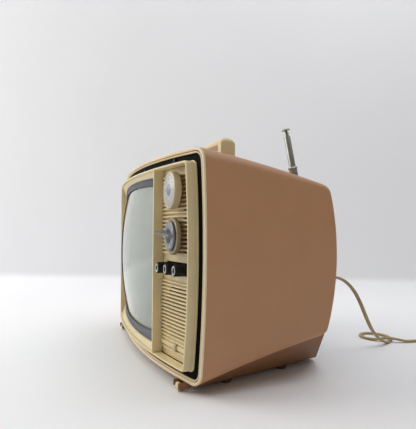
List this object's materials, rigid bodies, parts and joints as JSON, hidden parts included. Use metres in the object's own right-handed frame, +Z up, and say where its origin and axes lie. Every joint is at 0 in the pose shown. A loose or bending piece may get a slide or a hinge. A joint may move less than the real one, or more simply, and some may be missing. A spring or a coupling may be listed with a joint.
{
  "type": "tube television",
  "caption": "Portable tube television with a bowed front, side control column, top handle, pull-up rod aerial, wedge base and mains lead.",
  "frame": {"origin": "centre of the bounding box at the base, on the surface the feet stand on, without the mains lead", "axes": "+X towards the control column (right as seen from the front), +Y to the back, +Z up; the screen faces -Y"},
  "size_m": [0.3684, 0.5056, 0.2965],
  "materials": {
    "paint": "satin leatherette-grained enamel",
    "cream": "satin moulded plastic",
    "khaki": "satin moulded plastic",
    "black": "matt",
    "glass": "polished grey-green faceplate",
    "steel": "zinc plated",
    "silver": "spun and lacquered",
    "chrome": "polished",
    "brown": "grained plastic",
    "base": "satin enamel",
    "board": "phenolic board",
    "copper": "enamelled copper winding",
    "lead": "flexible PVC",
    "grey": "grey rubber",
    "foot": "matt rubber"
  },
  "bodies": {
    "cabinet": {"cabinet_shell": "paint", "front_trim": "cream", "mask_frame": "black", "front_bezel": "cream", "screen_gasket": "grey", "control_panel": "khaki", "badge_bar": "cream", "volume_control": "steel", "brightness_control": "steel", "contrast_control": "steel", "control_bracket": "steel", "picture_tube": "glass", "tube_band": "steel", "deflection_yoke": "copper", "tube_socket": "brown", "main_chassis": "steel", "circuit_board": "board", "video_valve": "glass", "sound_valve": "glass", "line_valve": "glass", "damper_valve": "glass", "flyback_transformer": "copper", "power_transformer": "steel", "filter_capacitor": "silver", "vhf_tuner": "steel", "uhf_tuner": "steel", "speaker": "black", "rear_cover": "brown", "aerial_terminals": "board", "base_plinth": "base", "front_foot_left": "foot", "rear_foot_left": "foot", "front_foot_right": "foot", "rear_foot_right": "foot", "carrying_handle": "cream", "aerial_collar": "cream", "aerial_sleeve": "steel", "cord_relief": "lead", "mains_cord": "lead", "cord_coil": "lead", "mains_plug": "lead"},
    "uhf_dial": {"uhf_dial": "silver"},
    "uhf_knob": {"uhf_tuning_knob": "steel", "uhf_shaft": "steel"},
    "vhf_ring": {"vhf_fine_ring": "khaki"},
    "vhf_selector": {"vhf_dial": "silver", "vhf_shaft": "steel"},
    "volume": {"volume_knob": "black", "volume_shaft": "steel"},
    "brightness": {"brightness_knob": "black", "brightness_shaft": "steel"},
    "contrast": {"contrast_knob": "black", "contrast_shaft": "steel"},
    "aerial_lower": {"aerial_mast_lower": "chrome"},
    "aerial_upper": {"aerial_mast_upper": "chrome"},
    "aerial_tip": {"aerial_rod": "chrome"},
    "tilt_left": {"tilt_foot_left": "cream"},
    "tilt_right": {"tilt_foot_right": "cream"}
  },
  "joints": [
    {"name": "uhf_dial_turn", "type": "hinge", "parent": "cabinet", "child": "uhf_dial", "pos_m": [0.1294, -0.10925, 0.217], "axis": [0, -1, 0], "range_deg": [-150, 150]},
    {"name": "uhf_knob_turn", "type": "hinge", "parent": "cabinet", "child": "uhf_knob", "pos_m": [0.1294, -0.10925, 0.217], "axis": [0, -1, 0], "range_deg": [-150, 150]},
    {"name": "vhf_selector_turn", "type": "hinge", "parent": "cabinet", "child": "vhf_selector", "pos_m": [0.1287, -0.10925, 0.1667], "axis": [0, -1, 0], "continuous": true},
    {"name": "vhf_fine_turn", "type": "hinge", "parent": "cabinet", "child": "vhf_ring", "pos_m": [0.1287, -0.10925, 0.1667], "axis": [0, -1, 0], "continuous": true},
    {"name": "volume_turn", "type": "hinge", "parent": "cabinet", "child": "volume", "pos_m": [0.107, -0.10925, 0.13], "axis": [0, -1, 0], "range_deg": [-150, 150]},
    {"name": "brightness_turn", "type": "hinge", "parent": "cabinet", "child": "brightness", "pos_m": [0.1272, -0.10925, 0.13], "axis": [0, -1, 0], "range_deg": [-150, 150]},
    {"name": "contrast_turn", "type": "hinge", "parent": "cabinet", "child": "contrast", "pos_m": [0.1461, -0.10925, 0.13], "axis": [0, -1, 0], "range_deg": [-150, 150]},
    {"name": "aerial_lower_slide", "type": "slide", "parent": "cabinet", "child": "aerial_lower", "axis": [0, -0.2385, 0.9711], "range_m": [-0.036, 0.045]},
    {"name": "aerial_upper_slide", "type": "slide", "parent": "aerial_lower", "child": "aerial_upper", "axis": [0, -0.2385, 0.9711], "range_m": [-0.004, 0.08]},
    {"name": "aerial_tip_slide", "type": "slide", "parent": "aerial_upper", "child": "aerial_tip", "axis": [0, -0.2385, 0.9711], "range_m": [-0.0008, 0.08]},
    {"name": "tilt_left_fold", "type": "hinge", "parent": "cabinet", "child": "tilt_left", "pos_m": [-0.1445, -0.10525, 0.0058], "axis": [1, 0, 0], "range_deg": [0, 90]},
    {"name": "tilt_right_fold", "type": "hinge", "parent": "cabinet", "child": "tilt_right", "pos_m": [0.1445, -0.10525, 0.0058], "axis": [1, 0, 0], "range_deg": [0, 90]}
  ]
}
